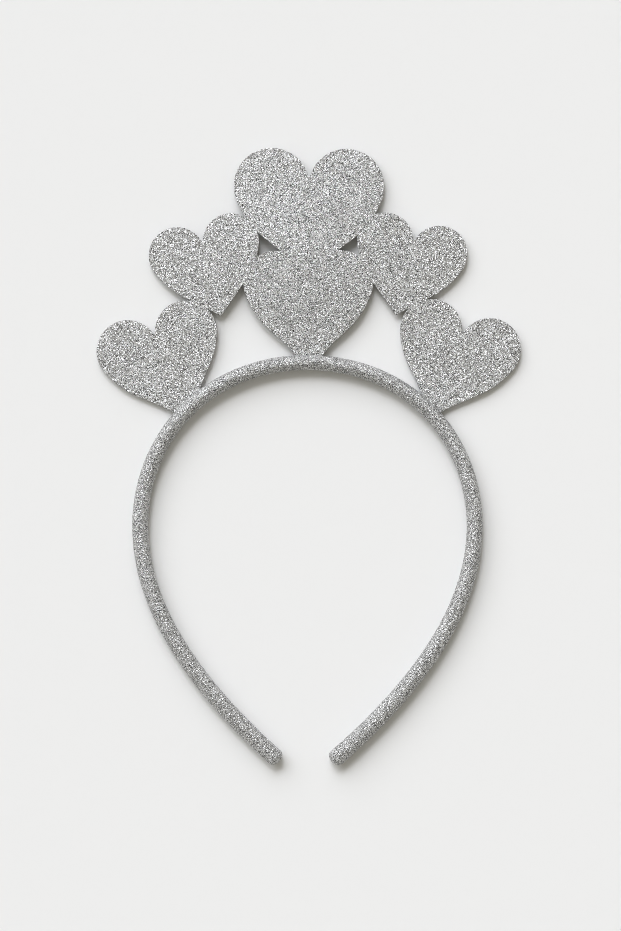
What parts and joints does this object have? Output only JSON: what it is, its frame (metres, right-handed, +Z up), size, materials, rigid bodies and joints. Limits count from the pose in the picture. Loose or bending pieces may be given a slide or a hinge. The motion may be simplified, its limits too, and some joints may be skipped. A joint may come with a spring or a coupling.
{
  "type": "heart crown headband",
  "caption": "Open padded hair hoop covered in silver glitter, with a flat die-cut crown of joined hearts standing on its top, worn over the hair as a costume headpiece.",
  "frame": {"origin": "middle of the footprint, on the surface the headband lies on", "axes": "+Y from the hoop's tips to the crown, +X to the right seen from the front, +Z up off the surface, out of the crown's front"},
  "size_m": [0.1582, 0.2298, 0.0064],
  "materials": {
    "band_glitter": "silver glitter cloth drawn over a padded core",
    "crown_glitter": "coarse silver glitter on a soft die-cut sheet"
  },
  "bodies": {
    "root": {"band": "band_glitter", "heart_crown": "crown_glitter"}
  },
  "joints": []
}
